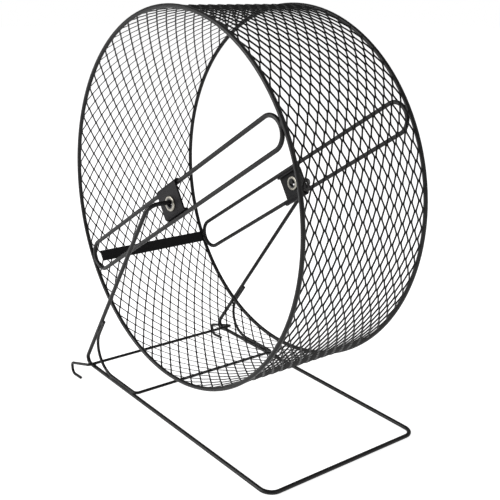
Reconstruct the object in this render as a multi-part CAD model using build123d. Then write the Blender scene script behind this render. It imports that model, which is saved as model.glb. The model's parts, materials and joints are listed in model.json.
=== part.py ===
from build123d import *
from math import asin, atan2, cos, degrees, hypot, pi, radians, sin, tan
import os

# Rodent exercise wheel: an expanded-metal running drum between two wire rims. Two wire
# spoke loops carry it on the ends of a bent wire stand, which hooks onto a cage's bars.
# Millimetres. The pieces are drawn with the base rods level and the axle through the
# origin, Y along the axle (left is +Y) and X towards the open end of the base. Last they
# are tipped onto the hooks and the front rod, with the origin on the floor below the axle.

# Wheel
wheel_radius = 140.0        # outside of the rims
rim_spacing = 114.0         # rim centre to rim centre
rim_wire = 3.2
loop_wire = 3.2
loop_width = 22.8           # between the centrelines of a loop's two long sides
spoke_angle = 34.6          # direction of the loops above the base rods

# Running surface
sheet_thickness = 1.0
opening_count = 28          # round the drum
column_count = 6            # openings across the drum
strand_width = 1.7
strip_width = 9.0
strip_thickness = 1.0
strip_length = 105.0
strip_offset = 2.3          # the strip stops short of the right rim
strip_angle = 213.7

# Hub plates and eyelets
plate_length = 26.5
plate_thickness = 1.5
lip_bend = 1.5
lip_depth = 1.8
eyelet_barrel = 6.6
eyelet_wall = 0.6
eyelet_flange = 11.6
flange_height = 1.2
flange_rounding = 0.8
pin_clearance = 0.05        # the wheel hangs on the pins, so they lie at the top of the bore

# Stand
rod_wire = 3.2
base_half_width = 70.4      # centreline of a side rod at its foot corner
base_splay = 2.0            # the side rods end this much wider at the front
leg_splay = 9.0             # the legs end this much wider at the top
axle_height = 165.0         # axle above the centreline of the base rods
foot_setback = 106.5        # foot corner behind the axle
base_reach = 138.5          # front rod ahead of the axle
front_bend = 9.0
foot_bend = 5.0
pin_bend = 8.0
pin_stickout = 1.8          # pin end past the inner face of the hub plate

# Brace and hook wires
thin_wire = 2.4
brace_climb = 60.0          # length of leg that the brace reaches up
brace_bend = 21.0
brace_cross_setback = 27.0
brace_corner_bend = 3.6
hook_cross_setback = 92.0
hook_outset = 5.6           # centreline of a hook outside its foot corner
hook_corner_bend = 2.8
hook_reach = 29.0           # from the cross wire back to the throat
hook_fall = 9.5             # how far the upper run falls on the way
hook_throat = 9.0
hook_lean = 1.5
hook_tip = 13.5
throat_bend = 2.6
heel_bend = 4.4

# Clearances
weld_gap = 0.02             # welded wires just touch
hole_gap = 0.05             # eyelet barrel in its plate

rim_radius = wheel_radius - rim_wire / 2
rim_y = rim_spacing / 2
drum_half_width = rim_y - rim_wire / 2 - weld_gap
loop_half = loop_width / 2
loop_reach = wheel_radius - rim_wire - loop_wire / 2 - weld_gap
plate_inner = loop_wire / 2 + weld_gap
plate_outer = plate_inner + plate_thickness
pin_radius = rod_wire / 2
bore_radius = eyelet_barrel / 2 - eyelet_wall
pin_rise = bore_radius - pin_radius - pin_clearance
wire_offset = (rod_wire + thin_wire) / 2 + weld_gap
fold_count = 2 * opening_count
drum_flat = (rim_radius - sheet_thickness / 2) * cos(pi / fold_count)


def bent_wire(points, bends, diameter):
    """A round wire along straight runs, with a bend radius at each inner point."""
    points = [Vector(*p) for p in points]
    edges = []
    start = points[0]
    for before, corner, after, radius in zip(points, points[1:], points[2:], bends):
        back = (before - corner).normalized()
        ahead = (after - corner).normalized()
        half_angle = radians(back.get_angle(ahead)) / 2
        setback = radius / tan(half_angle)
        bisector = (back + ahead).normalized()
        entry = corner + back * setback
        leave = corner + ahead * setback
        middle = corner + bisector * (radius / sin(half_angle) - radius)
        edges.append(Edge.make_line(start, entry))
        edges.append(Edge.make_three_point_arc(entry, middle, leave))
        start = leave
    edges.append(Edge.make_line(start, points[-1]))
    path = Wire(edges)
    section = Plane(origin=points[0], z_dir=points[1] - points[0]) * Circle(diameter / 2)
    return sweep(section, path=path)


def rim(side):
    section = Plane.YZ * Pos(side * rim_y, rim_radius) * Circle(rim_wire / 2)
    return revolve(section, Axis.Y)


def mesh_drum():
    """Expanded metal rolled to a ring: flat between the rows of bonds, where it folds.

    Staggered diamond openings run through it, with half diamonds along both edges.
    """
    outer = RegularPolygon(rim_radius + sheet_thickness / 2, fold_count)
    inner = RegularPolygon(rim_radius - sheet_thickness / 2, fold_count)
    shell = extrude(Plane.XZ * (outer - inner), drum_half_width, both=True)
    pitch_around = 2 * pi * rim_radius / opening_count
    pitch_across = 2 * drum_half_width / column_count
    # Each opening is its diamond cell less half a strand on all four sides.
    share_left = 1 - strand_width * hypot(1 / pitch_around, 1 / pitch_across)
    tall = pitch_around / 2 * share_left
    wide = pitch_across / 2 * share_left
    diamond = make_face(Polyline((wide, 0), (0, tall), (-wide, 0), (0, -tall), close=True))
    openings = []
    for row in range(fold_count):
        shifted = row % 2
        first = -drum_half_width + pitch_across / 2 * (1 - shifted)
        angle = 2 * pi * row / fold_count
        outward = Vector(cos(angle), 0, sin(angle))
        depth = rim_radius - 4 * sheet_thickness
        plane = Plane(origin=outward * depth, x_dir=(0, 1, 0), z_dir=outward)
        for column in range(column_count + shifted):
            place = Pos(first + column * pitch_across, 0)
            openings.append(extrude(plane * place * diamond, 8 * sheet_thickness))
    return shell - openings


def seam_strip():
    """A flat bar bent to the drum's curve, inside it over the join in the sheet."""
    top = drum_flat - weld_gap
    section = Plane.XY * Pos(top - strip_thickness / 2, strip_offset) * Rectangle(strip_thickness, strip_length)
    sweep_angle = degrees(strip_width / top)
    arc = revolve(section, Axis.Y, revolution_arc=sweep_angle)
    return Rot(0, -strip_angle - sweep_angle / 2, 0) * arc


def spoke_plane(side):
    """Plane of one spoke loop: local X along the loop, local Y across it, seen from outside."""
    along = Vector(cos(radians(spoke_angle)), 0, sin(radians(spoke_angle)))
    return Plane(origin=(0, side * rim_y, 0), x_dir=along, z_dir=(0, side, 0))


def spoke_loop(side):
    half = loop_width / 2
    straight = loop_reach - half
    lines = [
        Line((-straight, half), (straight, half)),
        ThreePointArc((straight, half), (loop_reach, 0), (straight, -half)),
        Line((straight, -half), (-straight, -half)),
        ThreePointArc((-straight, -half), (-loop_reach, 0), (-straight, half)),
    ]
    path = Wire(Edge.make_line(lines[0] @ 0, lines[0] @ 1).edges() + [e for l in lines[1:] for e in l.edges()])
    section = Plane(origin=(-straight, half, 0), z_dir=(1, 0, 0)) * Circle(loop_wire / 2)
    return spoke_plane(side) * sweep(section, path=path)


def hub_plate(side):
    """Sheet plate across a loop: hemmed over one wire, turned in against the other."""
    hem = Circle(plate_outer) - Circle(plate_inner)
    hem &= Pos(plate_outer, 0) * Rectangle(2 * plate_outer, 2 * plate_outer)
    lip_face = -loop_half + plate_inner
    lip_centre = lip_face + plate_thickness / 2 + lip_bend
    flat_length = loop_half - lip_centre
    flat = Pos(lip_centre + flat_length / 2, plate_inner + plate_thickness / 2)
    flat *= Rectangle(flat_length, plate_thickness)
    bend_outer = lip_bend + plate_thickness / 2
    bend = Circle(bend_outer) - Circle(lip_bend - plate_thickness / 2)
    bend &= Pos(-bend_outer / 2, bend_outer / 2) * Rectangle(bend_outer, bend_outer)
    bend_height = plate_outer - bend_outer
    lip = Pos(lip_face + plate_thickness / 2, bend_height - lip_depth / 2)
    lip *= Rectangle(plate_thickness, lip_depth)
    profile = Pos(loop_half, 0) * hem + flat + Pos(lip_centre, bend_height) * bend + lip
    plate = extrude(Plane.YZ * profile, plate_length / 2, both=True)
    hole = Cylinder(eyelet_barrel / 2 + hole_gap, 6 * plate_outer)
    return spoke_plane(side) * (plate - hole)


def eyelet(side):
    """Turned bushing closed over both faces of the plate, with rounded flanges."""
    lower = plate_inner - weld_gap - flange_height
    upper = plate_outer + weld_gap + flange_height
    profile = Pos(bore_radius + eyelet_wall / 2, (lower + upper) / 2)
    profile *= Rectangle(eyelet_wall, upper - lower)
    reach = eyelet_flange / 2 - bore_radius
    for height in (lower + flange_height / 2, upper - flange_height / 2):
        profile += Pos(bore_radius + reach / 2, height) * Rectangle(reach, flange_height)
    ends = [v for v in profile.vertices() if v.Y < lower + 0.01 or v.Y > upper - 0.01]
    profile = fillet(ends, flange_rounding)
    ring = revolve(Plane.XZ * profile, Axis.Z)
    return spoke_plane(side) * ring


def stand_side(side):
    """Front corner, foot corner and pin corner on one side of the stand."""
    front = Vector(base_reach, side * (base_half_width + base_splay), -axle_height)
    foot = Vector(-foot_setback, side * base_half_width, -axle_height)
    top = Vector(0, side * (base_half_width + leg_splay), pin_rise)
    return front, foot, top


def stand_frame():
    """One rod: axle pin, leg, side rod, front rod, side rod, leg, axle pin."""
    pin_end = rim_y + plate_inner - pin_stickout
    corners = []
    for side in (-1, 1):
        front, foot, top = stand_side(side)
        run = [Vector(0, side * pin_end, pin_rise), top, foot, front]
        corners += run if side < 0 else run[::-1]
    bends = [pin_bend, foot_bend, front_bend, front_bend, foot_bend, pin_bend]
    return bent_wire(corners, bends, rod_wire)


def brace_wire():
    """Lies in front of both legs, curves onto the side rods and crosses the base."""
    points = []
    for side in (-1, 1):
        front, foot, top = stand_side(side)
        climb = (top - foot).normalized()
        forward = (front - foot).normalized()
        off_leg = (forward - climb * climb.dot(forward)).normalized()
        off_base = (climb - forward * climb.dot(forward)).normalized()
        corner = foot + (climb + forward) * (wire_offset / off_base.dot(climb))
        upper_end = foot + off_leg * wire_offset + climb * brace_climb
        turn = foot + off_base * wire_offset + forward * (foot_setback - brace_cross_setback)
        run = [upper_end, corner, turn]
        points += run if side < 0 else run[::-1]
    bends = [brace_bend, brace_corner_bend, brace_corner_bend, brace_bend]
    return bent_wire(points, bends, thin_wire)


def hook_points(side):
    """From the cross wire round one hook to its tip, without the tip's slope."""
    y = side * (base_half_width + hook_outset)
    shoulder = Vector(-hook_cross_setback, y, wire_offset - axle_height)
    throat = shoulder - Vector(hook_reach, 0, hook_fall)
    heel = throat + Vector(hook_lean, 0, -hook_throat)
    return shoulder, throat, heel


def rest_tilt():
    """Angle between the base rods and the floor that the hooks and front rod stand on."""
    heel = hook_points(1)[2]
    rise = -axle_height - heel.Z
    run = base_reach - heel.X
    return atan2(rise, run) - asin((rod_wire - thin_wire) / 2 / hypot(rise, run))


def hook_wire():
    """Crosses on the side rods and ends in a hook outside each, whose tip lies on the floor."""
    along_floor = Vector(cos(rest_tilt()), 0, sin(rest_tilt()))
    points = []
    for side in (-1, 1):
        shoulder, throat, heel = hook_points(side)
        run = [heel + along_floor * hook_tip, heel, throat, shoulder]
        points += run if side < 0 else run[::-1]
    bends = [heel_bend, throat_bend, hook_corner_bend]
    return bent_wire(points, bends + bends[::-1], thin_wire)


pieces = {
    "stand_frame": stand_frame(),
    "brace_wire": brace_wire(),
    "hook_wire": hook_wire(),
    "mesh_drum": mesh_drum(),
    "seam_strip": seam_strip(),
}
for name, side in (("right", -1), ("left", 1)):
    pieces[name + "_rim"] = rim(side)
    pieces[name + "_spoke_loop"] = spoke_loop(side)
    pieces[name + "_hub_plate"] = hub_plate(side)
    pieces[name + "_eyelet"] = eyelet(side)

tilt = rest_tilt()
front_rod = Vector(base_reach, 0, -axle_height)
lift = rod_wire / 2 + front_rod.X * sin(tilt) - front_rod.Z * cos(tilt)
on_floor = Pos(0, 0, lift) * Rot(0, degrees(tilt), 0)

os.makedirs("parts", exist_ok=True)
for name, piece in pieces.items():
    export_step(on_floor * piece, "parts/" + name + ".step")
print("tilt", round(degrees(tilt), 2), "degrees, axle", round(lift, 2), "mm above the floor")
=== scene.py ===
import json
import math
import bpy
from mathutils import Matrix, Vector

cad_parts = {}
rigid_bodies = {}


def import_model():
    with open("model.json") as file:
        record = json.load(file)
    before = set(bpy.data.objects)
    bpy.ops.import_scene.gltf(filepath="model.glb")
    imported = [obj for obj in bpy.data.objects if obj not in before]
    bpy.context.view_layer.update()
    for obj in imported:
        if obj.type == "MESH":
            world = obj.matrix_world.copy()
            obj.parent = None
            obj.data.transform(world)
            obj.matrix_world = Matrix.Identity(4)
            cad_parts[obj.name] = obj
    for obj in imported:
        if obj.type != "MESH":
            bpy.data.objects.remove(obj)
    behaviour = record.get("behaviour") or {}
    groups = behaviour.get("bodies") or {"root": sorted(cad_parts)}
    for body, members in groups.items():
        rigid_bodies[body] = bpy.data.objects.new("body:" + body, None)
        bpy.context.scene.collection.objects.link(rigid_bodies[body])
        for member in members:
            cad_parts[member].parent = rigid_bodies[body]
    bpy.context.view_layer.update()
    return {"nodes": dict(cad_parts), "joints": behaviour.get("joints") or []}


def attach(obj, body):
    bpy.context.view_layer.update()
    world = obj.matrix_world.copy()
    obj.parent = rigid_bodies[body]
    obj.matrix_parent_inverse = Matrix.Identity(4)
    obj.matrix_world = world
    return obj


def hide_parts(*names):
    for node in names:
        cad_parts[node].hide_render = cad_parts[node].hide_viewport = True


# Rodent exercise wheel: black coated wire, an expanded mesh running drum, two hooks.
# Metres. The axle runs along Y, 174.5 mm above the floor, and the open end of the base is +X.

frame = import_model()

wheel = {"rimCentre": 0.1384, "rimY": 0.057, "loopReach": 0.1368, "loopTurn": 34.6}
stand = {"tilt": 3.39, "rod": 0.0032, "hookCross": 0.0145,
         "foot": (-0.1065, 0.0704, -0.165), "front": (0.1385, 0.0724, -0.165), "top": (0, 0.0794, 0.00105)}
axlePoint = Vector(frame["joints"][0]["pos_m"])


def standPoint(x, y, z):
    # from the stand drawn with level base rods to the stand as it rests, tipped onto its hooks
    tilt = math.radians(stand["tilt"])
    return Vector((x * math.cos(tilt) + z * math.sin(tilt), y, z * math.cos(tilt) - x * math.sin(tilt))) + axlePoint


# small helpers for edit mode

def clearSelection():
    for thing in bpy.context.scene.objects:
        thing.select_set(False)


def openMesh(piece):
    clearSelection()
    piece.select_set(True)
    bpy.context.view_layer.objects.active = piece
    bpy.ops.object.mode_set(mode="EDIT")
    bpy.ops.mesh.select_all(action="DESELECT")


def pickVerts(test):
    # selects by place; edges and faces between picked points follow
    piece = bpy.context.object
    bpy.ops.mesh.select_all(action="DESELECT")
    bpy.ops.mesh.select_mode(type="VERT")
    bpy.ops.object.mode_set(mode="OBJECT")
    for vertex in piece.data.vertices:
        vertex.select = test(vertex.co)
    bpy.ops.object.mode_set(mode="EDIT")


def pickFaces(test):
    piece = bpy.context.object
    bpy.ops.mesh.select_all(action="DESELECT")
    bpy.ops.mesh.select_mode(type="FACE")
    bpy.ops.object.mode_set(mode="OBJECT")
    for face in piece.data.polygons:
        face.select = test(face.center, face.normal)
    bpy.ops.object.mode_set(mode="EDIT")


def closeMesh():
    bpy.ops.object.mode_set(mode="OBJECT")


def applyAll(piece):
    for modifier in list(piece.modifiers):
        bpy.ops.object.modifier_apply(modifier=modifier.name)


def settle(piece):
    # place, turn and size go into the mesh, as in a CAD node
    clearSelection()
    piece.select_set(True)
    bpy.context.view_layer.objects.active = piece
    bpy.ops.object.transform_apply(location=True, rotation=True, scale=True)


def mergeClose(piece, distance):
    openMesh(piece)
    bpy.ops.mesh.select_all(action="SELECT")
    bpy.ops.mesh.remove_doubles(threshold=distance)
    bpy.ops.mesh.normals_make_consistent(inside=False)
    closeMesh()


def joinPieces(name, pieces):
    clearSelection()
    for piece in pieces:
        piece.select_set(True)
    bpy.context.view_layer.objects.active = pieces[0]
    if len(pieces) > 1:
        bpy.ops.object.join()
    joined = bpy.context.object
    joined.name = name
    return joined


# camera, where the photograph was taken from

cameraSetup = {"lens": 66.09, "place": (0.53631, -0.42646, 0.32765), "turn": (73.834, -0.600, 50.725)}

bpy.ops.object.camera_add(location=cameraSetup["place"], rotation=[math.radians(a) for a in cameraSetup["turn"]])
camera = bpy.context.object
camera.data.lens = cameraSetup["lens"]
camera.data.clip_start = 0.01
bpy.context.scene.camera = camera
bpy.context.scene.view_settings.view_transform = "Standard"
print("camera is up")


# white floor and soft studio light

studio = {"floorSize": 12, "floorTone": (0.86, 0.86, 0.86, 1), "whiten": 0.80, "worldLight": 0.28,
          "key": {"place": (-0.9, -1.9, 1.0), "size": 1.4, "power": 46},
          "fill": {"place": (1.9, 0.7, 1.3), "size": 1.4, "power": 9}}


def paperWhite(material, strength):
    # the camera, metal and gloss see white paper, and the lamps still leave the object's shadow on it
    nodes, links = material.node_tree.nodes, material.node_tree.links
    path = nodes.new("ShaderNodeLightPath")
    seen = nodes.new("ShaderNodeMath")
    seen.operation = "MAXIMUM"
    links.new(path.outputs["Is Camera Ray"], seen.inputs[0])
    links.new(path.outputs["Is Glossy Ray"], seen.inputs[1])
    through = nodes.new("ShaderNodeMath")
    through.operation = "MAXIMUM"
    links.new(seen.outputs[0], through.inputs[0])
    links.new(path.outputs["Is Transmission Ray"], through.inputs[1])
    scaled = nodes.new("ShaderNodeMath")
    scaled.operation = "MULTIPLY"
    scaled.inputs[1].default_value = strength
    links.new(through.outputs[0], scaled.inputs[0])
    return scaled.outputs[0]


bpy.ops.mesh.primitive_plane_add(size=studio["floorSize"])
floor = bpy.context.object
floor.name = "studioFloor"
floorPaint = bpy.data.materials.new("floorPaper")
floorPaint.use_nodes = True
floorShader = floorPaint.node_tree.nodes["Principled BSDF"]
floorShader.inputs["Base Color"].default_value = studio["floorTone"]
floorShader.inputs["Roughness"].default_value = 0.9
floorShader.inputs["Specular IOR Level"].default_value = 0.1
floorShader.inputs["Emission Color"].default_value = (1, 1, 1, 1)
floorPaint.node_tree.links.new(paperWhite(floorPaint, studio["whiten"]), floorShader.inputs["Emission Strength"])
floor.data.materials.append(floorPaint)

world = bpy.data.worlds.new("studioWorld")
bpy.context.scene.world = world
world.use_nodes = True
backdrop = world.node_tree.nodes["Background"]
backdrop.inputs["Color"].default_value = (1, 1, 1, 1)
worldPath = world.node_tree.nodes.new("ShaderNodeLightPath")
worldPick = world.node_tree.nodes.new("ShaderNodeMapRange")
worldPick.inputs["To Min"].default_value = studio["worldLight"]
worldPick.inputs["To Max"].default_value = 1.0
world.node_tree.links.new(worldPath.outputs["Is Camera Ray"], worldPick.inputs["Value"])
world.node_tree.links.new(worldPick.outputs["Result"], backdrop.inputs["Strength"])

for lampName in ("key", "fill"):
    lampPlan = studio[lampName]
    bpy.ops.object.light_add(type="AREA", location=lampPlan["place"])
    lamp = bpy.context.object
    lamp.name = lampName + "Lamp"
    lamp.data.size = lampPlan["size"]
    lamp.data.energy = lampPlan["power"]
    lamp.rotation_euler = (axlePoint - lamp.location).to_track_quat("-Z", "Y").to_euler()
print("studio is lit")


# finishes

def newGroup(name, inputs, outputs):
    group = bpy.data.node_groups.new(name, "ShaderNodeTree")
    for label, kind, value in inputs:
        socket = group.interface.new_socket(label, in_out="INPUT", socket_type=kind)
        if value is not None:
            socket.default_value = value
    for label, kind in outputs:
        group.interface.new_socket(label, in_out="OUTPUT", socket_type=kind)
    return group, group.nodes.new("NodeGroupInput"), group.nodes.new("NodeGroupOutput")


def noiseNode(group, scale, detail, vector):
    noise = group.nodes.new("ShaderNodeTexNoise")
    noise.inputs["Scale"].default_value = scale
    noise.inputs["Detail"].default_value = detail
    noise.inputs["Roughness"].default_value = 0.55
    group.links.new(vector, noise.inputs["Vector"])
    return noise


# baked-on black coat: orange-peel grain, faint cloudiness, dusty specks
coatGrain = {"cloudScale": 55, "peelScale": 1300, "speckScale": 420, "bump": 0.35, "depth": 0.00012}
coatGroup, coatIn, coatOut = newGroup(
    "coatSurface",
    [("Vector", "NodeSocketVector", None), ("Coat Tone", "NodeSocketColor", (0.02, 0.02, 0.021, 1)),
     ("Pale Tone", "NodeSocketColor", (0.045, 0.043, 0.042, 1)), ("Gloss Low", "NodeSocketFloat", 0.34),
     ("Gloss High", "NodeSocketFloat", 0.52), ("Peel", "NodeSocketFloat", 0.5)],
    [("Color", "NodeSocketColor"), ("Roughness", "NodeSocketFloat"), ("Height", "NodeSocketFloat")])
cloud = noiseNode(coatGroup, coatGrain["cloudScale"], 4, coatIn.outputs["Vector"])
peel = noiseNode(coatGroup, coatGrain["peelScale"], 3, coatIn.outputs["Vector"])
speck = coatGroup.nodes.new("ShaderNodeTexVoronoi")
speck.inputs["Scale"].default_value = coatGrain["speckScale"]
coatGroup.links.new(coatIn.outputs["Vector"], speck.inputs["Vector"])
speckMask = coatGroup.nodes.new("ShaderNodeMapRange")
speckMask.inputs["From Min"].default_value = 0.16
speckMask.inputs["From Max"].default_value = 0.08
coatGroup.links.new(speck.outputs["Distance"], speckMask.inputs["Value"])
cloudMask = coatGroup.nodes.new("ShaderNodeMapRange")
cloudMask.inputs["From Min"].default_value = 0.42
cloudMask.inputs["From Max"].default_value = 0.75
cloudMask.inputs["To Max"].default_value = 0.8
coatGroup.links.new(cloud.outputs["Fac"], cloudMask.inputs["Value"])
paleMask = coatGroup.nodes.new("ShaderNodeMath")
paleMask.operation = "MULTIPLY_ADD"
paleMask.use_clamp = True
paleMask.inputs[1].default_value = 0.35
coatGroup.links.new(speckMask.outputs["Result"], paleMask.inputs[0])
coatGroup.links.new(cloudMask.outputs["Result"], paleMask.inputs[2])
coatMix = coatGroup.nodes.new("ShaderNodeMix")
coatMix.data_type = "RGBA"
coatGroup.links.new(paleMask.outputs[0], coatMix.inputs["Factor"])
coatGroup.links.new(coatIn.outputs["Coat Tone"], coatMix.inputs[6])
coatGroup.links.new(coatIn.outputs["Pale Tone"], coatMix.inputs[7])
coatGroup.links.new(coatMix.outputs[2], coatOut.inputs["Color"])
glossRange = coatGroup.nodes.new("ShaderNodeMapRange")
glossRange.inputs["From Min"].default_value = 0.3
glossRange.inputs["From Max"].default_value = 0.7
coatGroup.links.new(cloud.outputs["Fac"], glossRange.inputs["Value"])
coatGroup.links.new(coatIn.outputs["Gloss Low"], glossRange.inputs["To Min"])
coatGroup.links.new(coatIn.outputs["Gloss High"], glossRange.inputs["To Max"])
coatGroup.links.new(glossRange.outputs["Result"], coatOut.inputs["Roughness"])
peelHeight = coatGroup.nodes.new("ShaderNodeMath")
peelHeight.operation = "MULTIPLY"
coatGroup.links.new(peel.outputs["Fac"], peelHeight.inputs[0])
coatGroup.links.new(coatIn.outputs["Peel"], peelHeight.inputs[1])
coatGroup.links.new(peelHeight.outputs[0], coatOut.inputs["Height"])


def coatMaterial(name, look):
    material = bpy.data.materials.new(name)
    material.use_nodes = True
    nodes, links = material.node_tree.nodes, material.node_tree.links
    shader = nodes["Principled BSDF"]
    place = nodes.new("ShaderNodeTexCoord")
    coat = nodes.new("ShaderNodeGroup")
    coat.node_tree = coatGroup
    coat.inputs["Coat Tone"].default_value = look["tone"]
    coat.inputs["Pale Tone"].default_value = look["pale"]
    coat.inputs["Gloss Low"].default_value = look["gloss"][0]
    coat.inputs["Gloss High"].default_value = look["gloss"][1]
    coat.inputs["Peel"].default_value = look["peel"]
    links.new(place.outputs["Object"], coat.inputs["Vector"])
    links.new(coat.outputs["Color"], shader.inputs["Base Color"])
    links.new(coat.outputs["Roughness"], shader.inputs["Roughness"])
    bump = nodes.new("ShaderNodeBump")
    bump.inputs["Strength"].default_value = coatGrain["bump"]
    bump.inputs["Distance"].default_value = coatGrain["depth"]
    links.new(coat.outputs["Height"], bump.inputs["Height"])
    links.new(bump.outputs["Normal"], shader.inputs["Normal"])
    shader.inputs["Specular IOR Level"].default_value = look["shine"]
    return material


rodLook = {"tone": (0.0055, 0.0054, 0.0056, 1), "pale": (0.017, 0.0165, 0.0162, 1), "gloss": (0.32, 0.46),
           "peel": 0.6, "shine": 0.25}
thinLook = {"tone": (0.004, 0.004, 0.0042, 1), "pale": (0.012, 0.0117, 0.0117, 1), "gloss": (0.34, 0.48),
            "peel": 0.5, "shine": 0.24}
meshLook = {"tone": (0.003, 0.0029, 0.003, 1), "pale": (0.008, 0.0078, 0.0078, 1), "gloss": (0.40, 0.56),
            "peel": 0.4, "shine": 0.22}
plateLook = {"tone": (0.0026, 0.0024, 0.0030, 1), "pale": (0.008, 0.0075, 0.0085, 1), "gloss": (0.44, 0.60),
             "peel": 0.8, "shine": 0.18}
rodCoat = coatMaterial("rodCoat", rodLook)
thinCoat = coatMaterial("thinWireCoat", thinLook)
meshCoat = coatMaterial("meshCoat", meshLook)
plateCoat = coatMaterial("plateCoat", plateLook)

# nickel with random tarnish, and a near-black painted shade of the bore round the axle
eyeletLook = {"tone": (0.36, 0.345, 0.30, 1), "dull": (0.13, 0.12, 0.10, 1), "rough": (0.24, 0.42),
              "throat": 0.0040, "ragged": 0.0012, "blur": 0.0003, "boreShadeTone": (0.006, 0.006, 0.006, 1)}
eyeletMetal = bpy.data.materials.new("eyeletNickel")
eyeletMetal.use_nodes = True
eyeletNodes, eyeletLinks = eyeletMetal.node_tree.nodes, eyeletMetal.node_tree.links
eyeletShader = eyeletNodes["Principled BSDF"]
eyeletPlace = eyeletNodes.new("ShaderNodeTexCoord")
tarnish = noiseNode(eyeletMetal.node_tree, 900, 4, eyeletPlace.outputs["Object"])
tarnishMix = eyeletNodes.new("ShaderNodeMix")
tarnishMix.data_type = "RGBA"
tarnishMix.inputs[6].default_value = eyeletLook["tone"]
tarnishMix.inputs[7].default_value = eyeletLook["dull"]
tarnishMask = eyeletNodes.new("ShaderNodeMapRange")
tarnishMask.inputs["From Min"].default_value = 0.45
tarnishMask.inputs["From Max"].default_value = 0.75
eyeletLinks.new(tarnish.outputs["Fac"], tarnishMask.inputs["Value"])
eyeletLinks.new(tarnishMask.outputs["Result"], tarnishMix.inputs["Factor"])
# painted shade: the rolled edge turns near-black and not metallic inside a ragged circle round the axle, standing in
# for the dark bore and the pin's shadow; distance from the axle, roughened by the noise
flat = eyeletNodes.new("ShaderNodeVectorMath")
flat.operation = "MULTIPLY"
flat.inputs[1].default_value = (1, 0, 1)
eyeletLinks.new(eyeletPlace.outputs["Object"], flat.inputs[0])
fromAxle = eyeletNodes.new("ShaderNodeVectorMath")
fromAxle.operation = "DISTANCE"
fromAxle.inputs[1].default_value = (0, 0, axlePoint.z)
eyeletLinks.new(flat.outputs["Vector"], fromAxle.inputs[0])
ragged = eyeletNodes.new("ShaderNodeMath")
ragged.operation = "MULTIPLY_ADD"
ragged.inputs[1].default_value = eyeletLook["ragged"]
eyeletLinks.new(tarnish.outputs["Fac"], ragged.inputs[0])
eyeletLinks.new(fromAxle.outputs["Value"], ragged.inputs[2])
throatEdge = eyeletLook["throat"] + eyeletLook["ragged"] / 2
throat = eyeletNodes.new("ShaderNodeMapRange")
throat.inputs["From Min"].default_value = throatEdge - eyeletLook["blur"]
throat.inputs["From Max"].default_value = throatEdge + eyeletLook["blur"]
eyeletLinks.new(ragged.outputs[0], throat.inputs["Value"])
# painted shade of the bore inside the circle, tarnished nickel outside it
throatMix = eyeletNodes.new("ShaderNodeMix")
throatMix.data_type = "RGBA"
throatMix.inputs[6].default_value = eyeletLook["boreShadeTone"]
eyeletLinks.new(tarnishMix.outputs[2], throatMix.inputs[7])
eyeletLinks.new(throat.outputs["Result"], throatMix.inputs["Factor"])
eyeletLinks.new(throatMix.outputs[2], eyeletShader.inputs["Base Color"])
eyeletLinks.new(throat.outputs["Result"], eyeletShader.inputs["Metallic"])
eyeletGloss = eyeletNodes.new("ShaderNodeMapRange")
eyeletGloss.inputs["To Min"].default_value = eyeletLook["rough"][0]
eyeletGloss.inputs["To Max"].default_value = eyeletLook["rough"][1]
eyeletLinks.new(tarnish.outputs["Fac"], eyeletGloss.inputs["Value"])
eyeletLinks.new(eyeletGloss.outputs["Result"], eyeletShader.inputs["Roughness"])

finishes = {"stand_frame": rodCoat, "brace_wire": thinCoat, "hook_wire": thinCoat, "mesh_drum": meshCoat,
            "seam_strip": plateCoat}
for hand in ("left", "right"):
    finishes[hand + "_rim"] = rodCoat
    finishes[hand + "_spoke_loop"] = rodCoat
    finishes[hand + "_hub_plate"] = plateCoat
    finishes[hand + "_eyelet"] = eyeletMetal
for nodeName, finish in finishes.items():
    node = frame["nodes"][nodeName]
    for slot in node.material_slots:
        slot.material = finish
print("finishes are on the wire pieces")


# expanded mesh: one bond with its four half strands, copied flat, cut, then rolled up

meshPlan = {"around": 64, "rows": 15, "rowPitch": 0.00853, "bondLength": 0.0010, "strandWidth": 0.00108,
            "thickness": 0.00050, "lean": -0.00052, "firstRow": -0.0517, "firstTurn": 2.9, "halfWidth": 0.0560}


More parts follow.
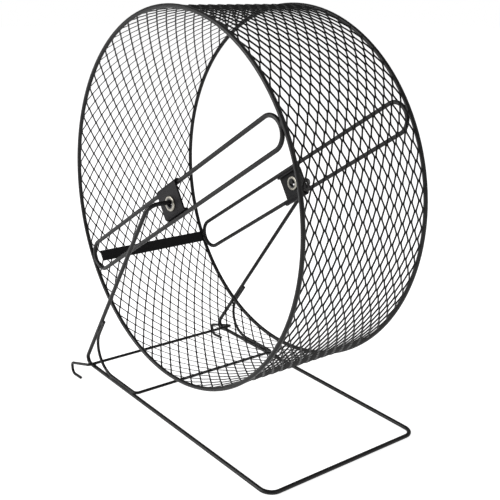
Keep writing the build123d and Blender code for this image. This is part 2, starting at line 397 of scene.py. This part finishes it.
def modelBond():
    pitch = 2 * math.pi * wheel["rimCentre"] / meshPlan["around"]
    rise = meshPlan["rowPitch"]
    width, length, lean = meshPlan["strandWidth"], meshPlan["bondLength"], meshPlan["lean"]
    bpy.ops.object.select_all(action="DESELECT")
    bpy.ops.mesh.primitive_plane_add(size=1)
    cell = bpy.context.object
    cell.scale = (2 * width, length, 1)
    settle(cell)
    openMesh(cell)
    bpy.ops.mesh.select_all(action="SELECT")
    bpy.ops.mesh.bisect(plane_co=(0, 0, 0), plane_no=(1, 0, 0))
    # X is across the drum, Y is along its edge; each arm leaves half of one end of the bond
    for across in (-1, 1):
        for along in (-1, 1):
            end = along * length / 2
            pickVerts(lambda co: co.x * across > -1e-6 and abs(co.x) < width + 1e-6 and abs(co.y - end) < 1e-6)
            step = (across * (rise / 4 - width / 2), along * (pitch / 4 - length / 2), 0)
            bpy.ops.mesh.extrude_region_move(TRANSFORM_OT_translate={"value": step})
    # slit and stretched sheet: every strand and bond leans the same way
    lifts = ((width, 1), (-width, -1))
    for reach, lift in lifts + ((rise / 4 + width / 2, 0.5), (rise / 4 - width / 2, -0.5),
                                (width / 2 - rise / 4, 0.5), (-width / 2 - rise / 4, -0.5)):
        atBond = abs(lift) == 1
        pickVerts(lambda co: abs(co.x - reach) < 1e-6 and (abs(co.y) < pitch / 8) == atBond)
        bpy.ops.transform.translate(value=(0, 0, lift * lean))
    closeMesh()
    skin = cell.modifiers.new("skin", "SOLIDIFY")
    skin.thickness = meshPlan["thickness"]
    skin.offset = 0
    applyAll(cell)
    openMesh(cell)
    pickFaces(lambda centre, normal: abs(normal.y) > 0.99 and abs(centre.y) > pitch / 4 - 1e-6)
    bpy.ops.mesh.delete(type="ONLY_FACE")
    bpy.ops.mesh.select_all(action="SELECT")
    bpy.ops.mesh.duplicate_move(TRANSFORM_OT_translate={"value": (rise / 2, pitch / 2, 0)})
    closeMesh()
    return cell, pitch, rise


def rollMesh():
    sheet, pitch, rise = modelBond()
    sheet.name = "running_mesh"
    for count, step in ((meshPlan["around"], (0, pitch, 0)), (meshPlan["rows"], (rise, 0, 0))):
        clearSelection()
        sheet.select_set(True)
        bpy.context.view_layer.objects.active = sheet
        copies = sheet.modifiers.new("copies", "ARRAY")
        copies.count = count
        copies.use_relative_offset = False
        copies.use_constant_offset = True
        copies.constant_offset_displace = step
        applyAll(sheet)
    mergeClose(sheet, 0.00002)
    # slide across so that the rows of bonds fall where the real ones do, then trim both edges
    sheet.location.x = meshPlan["firstRow"] - rise
    settle(sheet)
    openMesh(sheet)
    for edge in (-1, 1):
        bpy.ops.mesh.select_all(action="SELECT")
        bpy.ops.mesh.bisect(plane_co=(edge * meshPlan["halfWidth"], 0, 0), plane_no=(edge, 0, 0),
                            use_fill=True, clear_outer=True)
    closeMesh()
    # stand it on edge along Z, facing -X, and roll it round the axle
    sheet.rotation_euler = (math.radians(90), 0, math.radians(90))
    settle(sheet)
    clearSelection()
    sheet.select_set(True)
    bpy.context.view_layer.objects.active = sheet
    roll = sheet.modifiers.new("roll", "SIMPLE_DEFORM")
    roll.deform_method = "BEND"
    roll.deform_axis = "Y"
    roll.angle = 2 * math.pi
    applyAll(sheet)
    return sheet


def dress(piece, finish, body):
    # finish, and the body it turns or stands with
    piece.data.materials.clear()
    piece.data.materials.append(finish)
    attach(piece, body)


runningMesh = rollMesh()
runningMesh.location = (-wheel["rimCentre"], 0, 0)
settle(runningMesh)
runningMesh.rotation_euler.y = math.radians(stand["tilt"] - meshPlan["firstTurn"])
runningMesh.location = axlePoint
settle(runningMesh)
mergeClose(runningMesh, 0.00002)
dress(runningMesh, meshCoat, "wheel")
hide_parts("mesh_drum")
print("running mesh:", len(runningMesh.data.polygons), "faces")


# weld beads, blended under the coat

beadPlan = {"loopTip": (0.0034, 0.0013, 0.0011), "meshEdge": (0.0013, 0.0010, 0.0008),
            "alongWires": (0.0030, 0.0013, 0.0012), "crossing": (0.0016, 0.0014, 0.0011), "rows": 64, "rowTurn": 2.32,
            "edgeInset": 0.0014, "upLeg": (0.043, 0.0565), "alongBase": (0.043, 0.074)}


def addBead(name, place, size, along, rounds):
    # a flattened blob with its long side along one direction
    bpy.ops.object.select_all(action="DESELECT")
    bpy.ops.mesh.primitive_ico_sphere_add(subdivisions=rounds, radius=1, location=place)
    bead = bpy.context.object
    bead.name = name
    bead.scale = size
    bead.rotation_euler = Vector(along).to_track_quat("X", "Z").to_euler()
    settle(bead)
    for face in bead.data.polygons:
        face.use_smooth = True
    return bead


def weldLoops():
    turn = math.radians(wheel["loopTurn"] - stand["tilt"])
    beads = []
    for side in (-1, 1):
        for end in (-1, 1):
            out = Vector((math.cos(turn), 0, math.sin(turn))) * end
            place = axlePoint + out * (wheel["loopReach"] - 0.0002) + Vector((0, side * wheel["rimY"], 0))
            beads.append(addBead("loopBead", place, beadPlan["loopTip"], (-out.z, 0, out.x), 3))
    return joinPieces("loop_welds", beads)


def weldMeshEdges():
    # one bead where each edge bond meets its rim, spun round the axle
    edges = []
    for side in (-1, 1):
        turn = math.radians(beadPlan["rowTurn"])
        out = Vector((math.cos(turn), 0, math.sin(turn)))
        place = out * wheel["rimCentre"] + Vector((0, side * (wheel["rimY"] - beadPlan["edgeInset"]), 0))
        bead = addBead("edgeBead", axlePoint + place, beadPlan["meshEdge"], (-out.z, 0, out.x), 2)
        openMesh(bead)
        bpy.ops.mesh.select_all(action="SELECT")
        bpy.ops.mesh.spin(steps=beadPlan["rows"], dupli=True, angle=2 * math.pi, center=axlePoint, axis=(0, 1, 0))
        bpy.ops.mesh.select_all(action="SELECT")
        bpy.ops.mesh.remove_doubles(threshold=0.00001)
        bpy.ops.mesh.normals_make_consistent(inside=False)
        closeMesh()
        edges.append(bead)
    return joinPieces("mesh_edge_welds", edges)


def weldStand():
    # the brace lies along the legs and side rods, the hook wire crosses on top of them
    beads = []
    for side in (-1, 1):
        foot, front, top = (Vector((p[0], side * p[1], p[2])) for p in (stand["foot"], stand["front"], stand["top"]))
        climb = (top - foot).normalized()
        forward = (front - foot).normalized()
        offLeg = (forward - climb * climb.dot(forward)).normalized()
        offBase = (climb - forward * climb.dot(forward)).normalized()
        half = stand["rod"] / 2
        for run in beadPlan["upLeg"]:
            spot = foot + climb * run + offLeg * half
            heading = standPoint(*(spot + climb)) - standPoint(*spot)
            beads.append(addBead("legBead", standPoint(*spot), beadPlan["alongWires"], heading, 3))
        for run in beadPlan["alongBase"]:
            spot = foot + forward * run + offBase * half
            heading = standPoint(*(spot + forward)) - standPoint(*spot)
            beads.append(addBead("rodBead", standPoint(*spot), beadPlan["alongWires"], heading, 3))
        spot = foot + forward * stand["hookCross"] + offBase * half
        beads.append(addBead("crossBead", standPoint(*spot), beadPlan["crossing"], (1, 0, 0), 3))
    return joinPieces("stand_welds", beads)


loopWelds = weldLoops()
dress(loopWelds, rodCoat, "wheel")
edgeWelds = weldMeshEdges()
dress(edgeWelds, meshCoat, "wheel")
standWelds = weldStand()
dress(standWelds, rodCoat, "stand")
print("weld beads are in")
